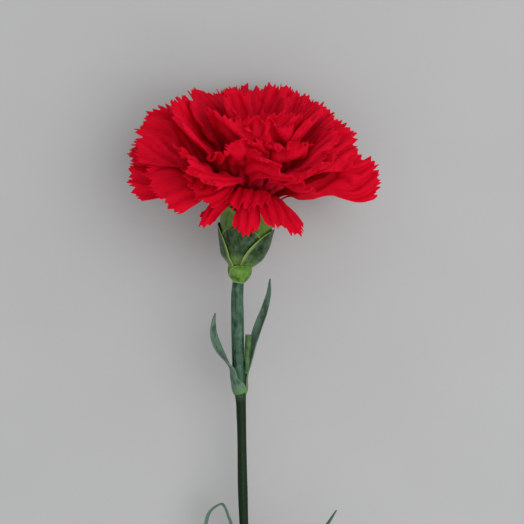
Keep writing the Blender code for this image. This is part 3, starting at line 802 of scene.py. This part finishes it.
def linear(colour):
    """An sRGB hex colour as linear red, green, blue and alpha."""
    parts = [int(colour[i : i + 2], 16) / 255 for i in (1, 3, 5)]
    return (*(p / 12.92 if p <= 0.04045 else ((p + 0.055) / 1.055) ** 2.4 for p in parts), 1.0)


def set_inputs(node, values):
    """What each input of a node holds, or the node or socket that it is linked to.

    An input given a whole node takes that node's first output.
    """
    for name, value in dict(values).items():
        if isinstance(value, bpy.types.Node):
            value = value.outputs[0]
        if isinstance(value, bpy.types.NodeSocket):
            node.id_data.links.new(value, node.inputs[name])
        else:
            node.inputs[name].default_value = value


def add_node(tree, kind, inputs=(), stops=(), **settings):
    """A shader node of a kind, with its settings, its inputs and a ramp's colours."""
    made = tree.nodes.new("ShaderNode" + kind)
    for name, value in settings.items():
        setattr(made, name, value)
    set_inputs(made, inputs)
    for index, (position, colour) in enumerate(stops):
        if index > 1:
            made.color_ramp.elements.new(position)
        made.color_ramp.elements[index].position = position
        made.color_ramp.elements[index].color = colour
    return made


def new_material(name):
    """A material, its tree and shader, and the Object coordinates of the piece it is on."""
    made = bpy.data.materials.new(name)
    made.use_nodes = True
    tree = made.node_tree
    solid = add_node(tree, "TexCoord").outputs["Object"]
    return made, tree, tree.nodes["Principled BSDF"], solid


def velvet_petal(settings):
    """Carnation petal: thin moist tissue whose skin cells stand up as tiny cones, like velvet.

    The cones take light from all sides, so the red is deep and dull with a soft pale edge.
    """
    made, tree, shader, solid = new_material("velvet_petal_tissue")
    surface = add_node(tree, "UVMap", uv_map="surface")
    along = add_node(tree, "SeparateXYZ", {"Vector": surface}).outputs["Y"]
    red = tuple(settings.colour) + (1.0,)
    stops = (
        (0.0, linear("#CFD8B4")),
        (1.0, tuple(min(c * 1.25, 1) for c in red)),
        (0.16, linear("#C7C08C")),
        (0.24, linear("#7E0714")),
        (0.45, tuple(c * 0.9 for c in red)),
        (0.85, red),
    )
    base = add_node(tree, "ValToRGB", {"Fac": along}, stops)
    # mottling a few millimetres wide, from uneven sap and folds
    mottle = add_node(tree, "TexNoise", {"Vector": solid, "Scale": 1 / (3.5 * MM), "Detail": 3.0})
    shade = add_node(tree, "MapRange", {"Value": mottle, "From Min": 0.3, "From Max": 0.7})
    dark = add_node(tree, "MixRGB", {"Fac": 0.3, "Color1": base, "Color2": linear("#7C0215")})
    mottled = add_node(tree, "MixRGB", {"Fac": shade, "Color1": base, "Color2": dark})
    # veins that fan out along the petal, about 0.7 mm apart
    spread = add_node(tree, "Mapping", {"Vector": surface, "Scale": (42.0, 2.4, 1.0)})
    scales = {"Scale": 1.0, "Detail": 2.0}
    veins = add_node(tree, "TexNoise", {"Vector": spread, **scales}, noise_dimensions="2D")
    vein = add_node(tree, "MapRange", {"Value": veins, "From Min": 0.35, "From Max": 0.65})
    streak = add_node(tree, "Math", {0: vein, 1: 0.1}, operation="MULTIPLY")
    deep = linear("#6A0010")
    veined = add_node(tree, "MixRGB", {"Fac": streak, "Color1": mottled, "Color2": deep})
    # velvet cells are far finer than the render, so their grain is drawn at 0.25 mm
    grain = add_node(tree, "TexNoise", {"Vector": solid, "Scale": 1 / (0.25 * MM), "Detail": 1.0})
    height = add_node(tree, "Math", {0: vein, 1: grain}, operation="ADD")
    bump = add_node(tree, "Bump", {"Height": height, "Strength": 0.35, "Distance": 0.06 * MM})
    values = {
        "Base Color": veined,
        "Normal": bump,
        "Roughness": 0.75,
        "Specular IOR Level": 0.08,
        "Sheen Weight": 0.25,
        "Sheen Roughness": 0.4,
        "Sheen Tint": linear("#FF2038"),
        "Subsurface Weight": 0.8,
        "Subsurface Radius": (1.0, 0.04, 0.08),
        "Subsurface Scale": 1.2 * MM,
    }
    set_inputs(shader, values)
    return made


def waxy_skin(
    name, tones, bloom, dusty, patch, stripes, roughness, turns=(), margin=None, fade=2, shine=0.25
):
    """Green plant skin under a pale waxy bloom that rubs off in patches, with fine ridges.

    tones run from dark to light over patches of a size in millimetres, and dusty is how much
    of them the bloom hides at most. stripes is how many ridges cross the piece. Each of turns
    is a colour, and the shares of the piece's length between which it takes over. margin is
    the colour of the thin dry edge, widest at the piece's foot and lost past the share fade.
    """
    made, tree, shader, solid = new_material(name)
    surface = add_node(tree, "UVMap", uv_map="surface")
    parts = add_node(tree, "SeparateXYZ", {"Vector": surface})
    across, along = parts.outputs["X"], parts.outputs["Y"]
    sizes = tuple(1 / (size * MM) for size in patch)
    long_way = add_node(tree, "Mapping", {"Vector": solid, "Scale": sizes})
    patches = add_node(tree, "TexNoise", {"Vector": long_way, "Scale": 1.0, "Detail": 4.0})
    dark, body, light = (linear(tone) for tone in tones)
    stops = ((0.38, dark), (0.64, light), (0.5, body))
    colour = add_node(tree, "ValToRGB", {"Fac": patches}, stops)
    ridges = add_node(tree, "Mapping", {"Vector": surface, "Scale": (stripes, 1.6, 1.0)})
    scales = {"Scale": 1.0, "Detail": 3.0}
    veins = add_node(tree, "TexNoise", {"Vector": ridges, **scales}, noise_dimensions="2D")
    vein = add_node(tree, "MapRange", {"Value": veins, "From Min": 0.35, "From Max": 0.65})
    faint = add_node(tree, "Math", {0: vein, 1: 0.35}, operation="MULTIPLY")
    # the bloom is a dust of wax, thickest where nothing has rubbed it
    rubbed = add_node(tree, "TexNoise", {"Vector": solid, "Scale": 1 / (2.2 * MM), "Detail": 5.0})
    wiped = {"From Min": 0.45, "From Max": 0.75, "To Max": dusty}
    dust = add_node(tree, "MapRange", {"Value": rubbed, **wiped})
    layers = [(faint, dark), (dust, linear(bloom))]
    for turned, start, end in turns:
        share = add_node(tree, "MapRange", {"Value": along, "From Min": start, "From Max": end})
        layers.append((share, linear(turned)))
    if margin:
        side = add_node(tree, "Math", {0: across, 1: 0.5}, operation="SUBTRACT")
        off_middle = add_node(tree, "Math", {0: side}, operation="ABSOLUTE")
        near_foot = {"From Min": 0.28, "From Max": 0.05, "To Max": 0.06}
        wider = add_node(tree, "MapRange", {"Value": along, **near_foot})
        reach = add_node(tree, "Math", {0: off_middle, 1: wider}, operation="ADD")
        uneven = add_node(tree, "Math", {0: patches, 1: 0.06, 2: reach}, operation="MULTIPLY_ADD")
        at_edge = {"From Min": 0.46, "From Max": 0.54, "To Max": 0.8}
        rim = add_node(tree, "MapRange", {"Value": uneven, **at_edge})
        before = {"From Min": fade + 0.2, "From Max": fade}
        fading = add_node(tree, "MapRange", {"Value": along, **before})
        rim = add_node(tree, "Math", {0: rim, 1: fading}, operation="MULTIPLY")
        layers.append((rim, linear(margin)))
    for share, over in layers:
        colour = add_node(tree, "MixRGB", {"Fac": share, "Color1": colour, "Color2": over})
    worn = {"From Min": 0.35, "From Max": 0.7}
    worn.update({"To Min": roughness - 0.08, "To Max": roughness + 0.2})
    values = {
        "Base Color": colour,
        "Roughness": add_node(tree, "MapRange", {"Value": rubbed, **worn}),
        "Normal": add_node(tree, "Bump", {"Height": vein, "Strength": 0.4, "Distance": 0.08 * MM}),
        "Specular IOR Level": shine,
        "Subsurface Weight": 0.08,
        "Subsurface Radius": (0.4, 0.8, 0.2),
        "Subsurface Scale": 0.8 * MM,
    }
    set_inputs(shader, values)
    return made


def cut_pith(name, rim, heart):
    """A sliced stem's face: wet pale pith, browning where it has dried."""
    made, tree, shader, solid = new_material(name)
    cells = add_node(tree, "TexNoise", {"Vector": solid, "Scale": 1 / (0.5 * MM), "Detail": 4.0})
    stops = ((0.35, linear(rim)), (0.65, linear(heart)))
    tone = add_node(tree, "ValToRGB", {"Fac": cells}, stops)
    set_inputs(shader, {"Base Color": tone, "Roughness": 0.55, "Specular IOR Level": 0.4})
    return made


def matte_board(settings):
    """Painted board: an even pale surface with the faintest grain, so nothing draws the eye."""
    made, tree, shader, solid = new_material("matte_painted_board")
    grain = add_node(tree, "TexNoise", {"Vector": solid, "Scale": 1 / (40 * MM), "Detail": 2.0})
    colour = tuple(settings.floor_colour) + (1.0,)
    stops = ((0.3, tuple(c * 0.97 for c in colour[:3]) + (1.0,)), (0.7, colour))
    tone = add_node(tree, "ValToRGB", {"Fac": grain}, stops)
    set_inputs(shader, {"Base Color": tone, "Roughness": 0.9, "Specular IOR Level": 0.2})
    return made


# ---------------------------------------------------------------- settings


class PetalSettings(bpy.types.PropertyGroup):
    """Sizes and colour of the petals."""

    colour: bpy.props.FloatVectorProperty(
        name="Red",
        description="Colour of the petals' fans",
        subtype="COLOR",
        size=3,
        min=0,
        max=1,
        default=(0.72, 0.0007, 0.022),
    )
    thickness: bpy.props.FloatProperty(
        name="Thickness",
        description="Thickness of a petal",
        unit="LENGTH",
        default=0.26 * MM,
    )
    tooth_depth: bpy.props.FloatProperty(
        name="Tooth depth",
        description="How deep the fringe's longest teeth are cut",
        unit="LENGTH",
        default=2.2 * MM,
    )
    tooth_spacing: bpy.props.FloatProperty(
        name="Tooth spacing",
        description="From one tooth of the fringe to the next",
        unit="LENGTH",
        default=1.7 * MM,
    )
    steps: bpy.props.IntProperty(
        name="Growth steps",
        description="Steps over which the petals grow and push for room",
        default=RELAX_STEPS,
        min=1,
    )


class StageSettings(bpy.types.PropertyGroup):
    """The table and the studio's light."""

    floor_colour: bpy.props.FloatVectorProperty(
        name="Table",
        description="Colour of the table's top",
        subtype="COLOR",
        size=3,
        min=0,
        max=1,
        default=linear("#B2B2B1")[:3],
    )
    key_power: bpy.props.FloatProperty(
        name="Key light", description="Power of the large soft light", unit="POWER", default=6.3
    )
    fill_power: bpy.props.FloatProperty(
        name="Fill light", description="Power of the weaker light", unit="POWER", default=5.3
    )
    sky: bpy.props.FloatProperty(
        name="Room light", description="Strength of the even light from all round", default=0.65
    )


# ---------------------------------------------------------------- pieces


class CARNATION_OT_petals(bpy.types.Operator):
    """Grow forty toothed petals, let them ruffle and push for room, and add them"""

    bl_idname = "carnation.petals"
    bl_label = "Petals"

    def execute(self, context):
        settings = context.scene.carnation_petals
        nets = relaxed_petals(settings.steps)
        material = velvet_petal(settings)
        for index, net in enumerate(nets):
            points = fine_petal(net, index, settings)
            rows, columns = points.shape[0] - 1, points.shape[1] - 1

            def place(across, share, points=points, rows=rows, columns=columns):
                column = np.rint((across + 1) / 2 * columns).astype(int)
                return points[np.rint(share * rows).astype(int), column]

            node = f"petal_{index + 1:02d}"
            thickness = settings.thickness / MM
            piece = sheet(node + "_fan", columns, rows, place, [material], thickness=thickness)
            stands_for(piece, node)
        return {"FINISHED"}


class CARNATION_OT_calyx(bpy.types.Operator):
    """Add the ribbed green calyx with its five teeth"""

    bl_idname = "carnation.calyx"
    bl_label = "Calyx"

    def execute(self, context):
        tones = ("#21430F", "#3F6A1A", "#74A034")
        # painted light: the calyx turns paler yellow-green towards its top, where the lamp catches
        # it
        painted_light_top = (("#8DB045", 0.5, 1.7),)
        skin = waxy_skin("calyx_skin", tones, "#A3B98A", 0.12, (2.2, 5, 2.2), 44, 0.3, painted_light_top)

        def place(across, share):
            notch = np.abs(((across + 1) / 2 * CALYX_TEETH) % 1 - 0.5) * 2
            top = CALYX_TIP - TOOTH_HEIGHT * notch**TOOTH_POINT
            height = CALYX_FOOT + (top - CALYX_FOOT) * share
            ribs = RIB_HEIGHT * np.cos(CALYX_RIBS * math.pi * across) * smooth(share * 4)
            radius = off_skin(height, CALYX_WALL / 2) + ribs
            return in_flower(around_axis(math.pi * across, radius, height))

        wall = CALYX_THICKNESS
        piece = sheet("calyx_tube", *CALYX_GRID, place, [skin], closed=True, thickness=wall)
        stands_for(piece, "calyx")
        return {"FINISHED"}


class CARNATION_OT_bracts(bpy.types.Operator):
    """Add the overlapping bracts round the calyx and the collar under it"""

    bl_idname = "carnation.bracts"
    bl_label = "Bracts"

    def execute(self, context):
        tones, young = ("#0C200F", "#20401B", "#5A8033"), (("#6F9434", 0.45, 0.1),)
        dust = ("#93AB8E", 0.2, (2.6, 5, 2.6))
        skin = waxy_skin("bract_skin", tones, *dust, 26, 0.28, young, "#9DB563")
        tones, young = ("#365F1A", "#5C8828", "#8FB347"), (("#8FB060", 0.12, 0.0),)
        dust = ("#A9BB8A", 0.2, (2, 3, 2))
        collar = waxy_skin("basal_bract_skin", tones, *dust, 24, 0.34, young, "#9DB563")
        rows = (  # layer, way round, height of the tip, half the width in degrees, and bulge
            ("bract_1", 0, -100, -3.6, 78, 0.0),
            ("bract_2", 0, 80, -3.0, 78, 0.0),
            ("bract_3", 1, -14, -4.2, 78, 0.7),
            ("bract_4", 1, 172, -5.0, 66, 0.2),
            ("basal_bract_1", 2, -75, -16.6, 82, 0.0),
            ("basal_bract_2", 2, 105, -16.2, 82, 0.0),
        )
        for node, layer, middle, tip, half_width, stand_off in rows:
            foot = bract_foot(layer)

            def place(across, share):
                height = foot + (tip - foot) * share
                bow = np.maximum(share - BRACT_NARROWS, 0) ** BRACT_POINT
                bow = bow / (1 - BRACT_NARROWS) ** BRACT_POINT
                waist = BRACT_WAIST[0] + BRACT_WAIST[1] * smooth(share / BRACT_FULL)
                outline = np.sqrt(np.clip(1 - bow, 0, 1)) * waist
                outline = np.maximum(outline, BRACT_NARROWEST)
                bulge = np.clip((share - BRACT_SWELL_FROM) / BRACT_SWELL_OVER, 0, 1)
                swell = stand_off * np.sin(math.pi * bulge) ** 2
                reach = math.radians(half_width) * outline
                angle = math.radians(middle) + across * reach
                veins = BRACT_VEIN_HEIGHT * np.cos(BRACT_VEINS * math.pi * across)
                veins = veins * smooth(share * 5)
                radius = bract_radius(height, layer) + swell + veins
                return in_flower(around_axis(angle, radius, height))

            materials = [collar if layer == 2 else skin]
            thickness = BRACT_THICKNESS
            piece = sheet(node + "_scale", *BRACT_GRID, place, materials, thickness=thickness)
            stands_for(piece, node)
        return {"FINISHED"}


class CARNATION_OT_pistil(bpy.types.Operator):
    """Add the ovary and its two styles, inside the calyx and among the innermost petals"""

    bl_idname = "carnation.pistil"
    bl_label = "Pistil"

    def execute(self, context):
        tones = ("#A3B27C", "#C3CDA0", "#DDE2C4")
        skin = waxy_skin("pistil_skin", tones, "#E6E9D8", 0.2, (2, 2, 2), 18, 0.4)
        foot = RECEPTACLE[0][0] + OVARY_LIFT
        stations = [(*in_flower([0, 0, foot + h]), r) for h, r in OVARY_OUTLINE]
        stands_for(tube("ovary_body", stations, *OVARY_GRID, [skin]), "ovary")
        for node, side in (("style_left", -1), ("style_right", 1)):
            heights = np.linspace(foot + STYLE_FOOT, STYLE_TIP, 8)
            lift = (heights - heights[0]) / (heights[-1] - heights[0])
            apart = side * (STYLES_APART + STYLES_SPREAD * lift**2)
            path = in_flower(stir(np.stack([apart, STYLES_BACK * lift, heights], axis=1)))
            thick = STYLE_RADIUS - STYLE_TAPER * lift
            stations = [(*point, radius) for point, radius in zip(path, thick)]
            stands_for(tube(node + "_thread", stations, *STYLE_GRID, [skin]), node)
        return {"FINISHED"}


class CARNATION_OT_stem(bpy.types.Operator):
    """Add the jointed stem with its waxy bloom, its cut end and a cut side shoot's stub"""

    bl_idname = "carnation.stem"
    bl_label = "Stem"

    def execute(self, context):
        tones = ("#1E3A26", "#36563F", "#648570")
        turns = (("#0D240D", 0.163, 0.178), ("#27432E", 0.36, 0.4))
        dust = ("#8FA79A", 0.25, (1.6, 12, 1.6))
        skin = waxy_skin("stem_skin", tones, *dust, 20, 0.3, turns, shine=0.15)
        green = ("#2A4722", "#42682C", "#668C42")
        shoot = waxy_skin("side_shoot_skin", green, "#8FA79A", 0.2, (1.5, 6, 1.5), 10, 0.35)
        pith = cut_pith("cut_stem_pith", "#8FA062", "#C9CF9C")
        dried = cut_pith("dried_cut_pith", "#7A6A35", "#B8AC6B")
        top = [(*in_flower([0, 0, height]), radius) for height, radius in RECEPTACLE]
        heights = [STEM[joint][2] for joint in JOINTS]

        def ripple(angle, height):
            """Fine ridges between the joints, and a crease round each joint."""
            ridges = sum(high * np.cos(count * angle + turn) for high, count, turn in STEM_RIDGES)
            for joint in heights:
                for size, above, wide in JOINT_RINGS:
                    ridges = ridges + size * np.exp(-(((height - joint - above) / wide) ** 2))
            return ridges

        stem = tube("stem_stalk", top + list(STEM), *STEM_GRID, [skin, pith], ripple)
        stands_for(stem, "stem")
        stub = tube("side_shoot_cut", STUB, *STUB_GRID, [shoot, dried])
        stands_for(stub, "side_shoot_stub")
        return {"FINISHED"}


class CARNATION_OT_leaves(bpy.types.Operator):
    """Add three pairs of narrow channelled leaves that clasp the stem's joints"""

    bl_idname = "carnation.leaves"
    bl_label = "Leaves"

    def execute(self, context):
        tones, young = ("#36503F", "#587662", "#86A48E"), (("#527C3A", 0.1, 0.0),)
        dust = ("#86A092", 0.2, (2.5, 7, 2.5))
        skin = waxy_skin("leaf_skin", tones, *dust, 22, 0.36, young, "#5F8348", fade=0.12)
        # way round, station of the joint, width, twist and wrap in radians, then the blade's
        # places, out from the stem and up it
        rows = (
            ("upper_leaf_left", -158, 4, 6.0, -1.1, 0.75)
            + (((2.8, 6), (4.4, 9), (6.7, 13.5), (7.9, 18.5), (7.6, 22), (6.8, 25)),),
            ("upper_leaf_right", 22, 4, 4.8, 0.6, 0.45)
            + (((4, 7), (5.4, 12), (8, 19), (10.4, 24), (12.2, 29), (13, 34)),),
            ("middle_leaf_left", 176, 9, 4.6, 0.3, 0.2)
            + (((3.4, 9), (4.6, 17), (7, 22.3), (10.2, 20.5), (13, 13), (14, 3)),),
            ("middle_leaf_right", -4, 9, 4.0, 0.4, 0.2)
            + (((5, 4.5), (11, 6.5), (18, 8.5), (25.5, 12), (31, 19)),),
            ("lower_leaf_left", -170, 14, 4.6, 0.3, 0.2)
            + (((4, 6), (10, 14), (18, 22), (27, 26), (36, 25), (43, 19)),),
            ("lower_leaf_right", 10, 14, 4.4, -0.4, 0.2)
            + (((3.6, 7), (8, 18), (14, 30), (19, 42), (21, 54), (20, 64)),),
        )
        for node, middle, *shape in rows:
            piece = leaf_blade(node, math.radians(middle), *shape, skin)
            stands_for(piece, node)
        return {"FINISHED"}


def leaf_blade(node, middle, joint, width, twist, wrap, blade, skin):
    """A narrow leaf: a sheath wrapped on the stem's joint, and a blade along its own points."""
    x, y, z, radius = STEM[joint]
    up = Vector(np.array(STEM[joint - 1][:3]) - np.array(STEM[joint + 1][:3])).normalized()
    out = Vector((math.cos(middle), math.sin(middle), 0))
    out = (out - up * out.dot(up)).normalized()
    side = np.array(up.cross(out))
    hug = radius + LEAF_GAP
    sheath = [(hug + more, above) for more, above in SHEATH_RISE]
    midrib = [(radius - SHEATH_FOOT[0], SHEATH_FOOT[1]), *sheath, *blade]
    points = [np.array((x, y, z)) + a * np.array(out) + b * np.array(up) for a, b in midrib]

    def place(across, share):
        centre, toward = along_path(points, share)
        lateral = side - toward * (toward @ side)[:, None]
        lateral /= np.linalg.norm(lateral, axis=1)[:, None]
        inner = np.cross(toward, lateral)
        turned = (twist * smooth((share - LEAF_TWIST_FROM) / LEAF_TWIST_OVER))[:, None]
        lateral, inner = (
            lateral * np.cos(turned) + inner * np.sin(turned),
            inner * np.cos(turned) - lateral * np.sin(turned),
        )
        tip = np.clip(1 - share**LEAF_TAPER, 0, 1) ** LEAF_POINT
        clasp = 1 - smooth((share - CLASP_TO) / CLASP_OVER)
        half = width / 2 * tip * (1 - clasp) + SHEATH_REACH * hug * clasp
        half = np.maximum(half, LEAF_NARROWEST)
        bend = hug
        for more, start, over in LEAF_BENDS:
            bend = bend + more * smooth((share - start) / over)
        angle = across * half / bend + wrap * clasp
        veins = LEAF_VEIN_HEIGHT * np.cos(LEAF_VEINS * math.pi * across)
        veins = veins - MIDRIB_DEPTH * np.exp(-((across / MIDRIB_WIDTH) ** 2))
        depth = bend - (bend - veins * smooth(share * 6)) * np.cos(angle)
        lifted = lateral * (bend * np.sin(angle))[:, None]
        return centre + lifted + inner * depth[:, None]

    return sheet(node + "_blade", *LEAF_GRID, place, [skin], thickness=LEAF_THICKNESS)


class CARNATION_OT_stage(bpy.types.Operator):
    """Add the pale table, the soft studio lights and the camera"""

    bl_idname = "carnation.stage"
    bl_label = "Stage"

    def execute(self, context):
        settings = context.scene.carnation_stage
        scene = context.scene
        board = bmesh.new()
        bmesh.ops.create_grid(board, x_segments=2, y_segments=2, size=TABLE_HALF)
        mesh = bpy.data.meshes.new("table_top")
        board.to_mesh(mesh)
        board.free()
        new_object("table_top", mesh, [matte_board(settings)])
        head = Vector(to_world(LIGHT_TARGET))
        lights = (  # from the head in metres, side in metres, and power
            ("key_light", (0.6, 0.12, 1.1), 1.1, settings.key_power),
            ("fill_light", (0.4, -0.3, 1.2), 1.2, settings.fill_power),
        )
        for name, offset, size, power in lights:
            data = bpy.data.lights.new(name, "AREA")
            data.size = size
            data.energy = power
            light = bpy.data.objects.new(name, data)
            light.location = head + Vector(offset)
            light.rotation_euler = (-Vector(offset)).to_track_quat("-Z", "Y").to_euler()
            scene.collection.objects.link(light)
        scene.world = bpy.data.worlds.new("studio_room")
        scene.world.use_nodes = True
        background = scene.world.node_tree.nodes["Background"]
        set_inputs(background, {"Color": linear("#F2F4F7"), "Strength": settings.sky})
        data = bpy.data.cameras.new("camera")
        data.sensor_width = SENSOR_WIDTH
        data.lens = SENSOR_WIDTH * -CAMERA_PLACE[1] / CAMERA_SPAN
        data.clip_start = NEAREST_SEEN
        camera = bpy.data.objects.new("camera", data)
        camera.location = to_world(CAMERA_PLACE)
        scene.collection.objects.link(camera)
        scene.camera = camera
        scene.view_settings.view_transform = "Standard"
        return {"FINISHED"}


class CARNATION_PT_build(bpy.types.Panel):
    """The flower's pieces and their settings"""

    bl_idname = "CARNATION_PT_build"
    bl_label = "Cut carnation"
    bl_space_type = "VIEW_3D"
    bl_region_type = "UI"
    bl_category = "Carnation"

    def draw(self, context):
        scene = context.scene
        for name in ("colour", "thickness", "tooth_depth", "tooth_spacing", "steps"):
            self.layout.prop(scene.carnation_petals, name)
        for operator in PIECES:
            self.layout.operator(operator.bl_idname)
        for name in ("floor_colour", "key_power", "fill_power", "sky"):
            self.layout.prop(scene.carnation_stage, name)
        self.layout.operator(CARNATION_OT_stage.bl_idname)


PIECES = (
    CARNATION_OT_petals,
    CARNATION_OT_calyx,
    CARNATION_OT_bracts,
    CARNATION_OT_pistil,
    CARNATION_OT_stem,
    CARNATION_OT_leaves,
)
CLASSES = (PetalSettings, StageSettings, *PIECES, CARNATION_OT_stage, CARNATION_PT_build)


def register():
    """Makes the settings, operators and panel known to Blender."""
    for kind in CLASSES:
        bpy.utils.register_class(kind)
    bpy.types.Scene.carnation_petals = bpy.props.PointerProperty(type=PetalSettings)
    bpy.types.Scene.carnation_stage = bpy.props.PointerProperty(type=StageSettings)


def unregister():
    """Takes them out again."""
    del bpy.types.Scene.carnation_petals
    del bpy.types.Scene.carnation_stage
    for kind in reversed(CLASSES):
        bpy.utils.unregister_class(kind)


def main():
    """Builds the whole flower on its stage."""
    register()
    bpy.ops.carnation.petals()
    bpy.ops.carnation.calyx()
    bpy.ops.carnation.bracts()
    bpy.ops.carnation.pistil()
    bpy.ops.carnation.stem()
    bpy.ops.carnation.leaves()
    bpy.ops.carnation.stage()


if __name__ == "__main__":
    main()
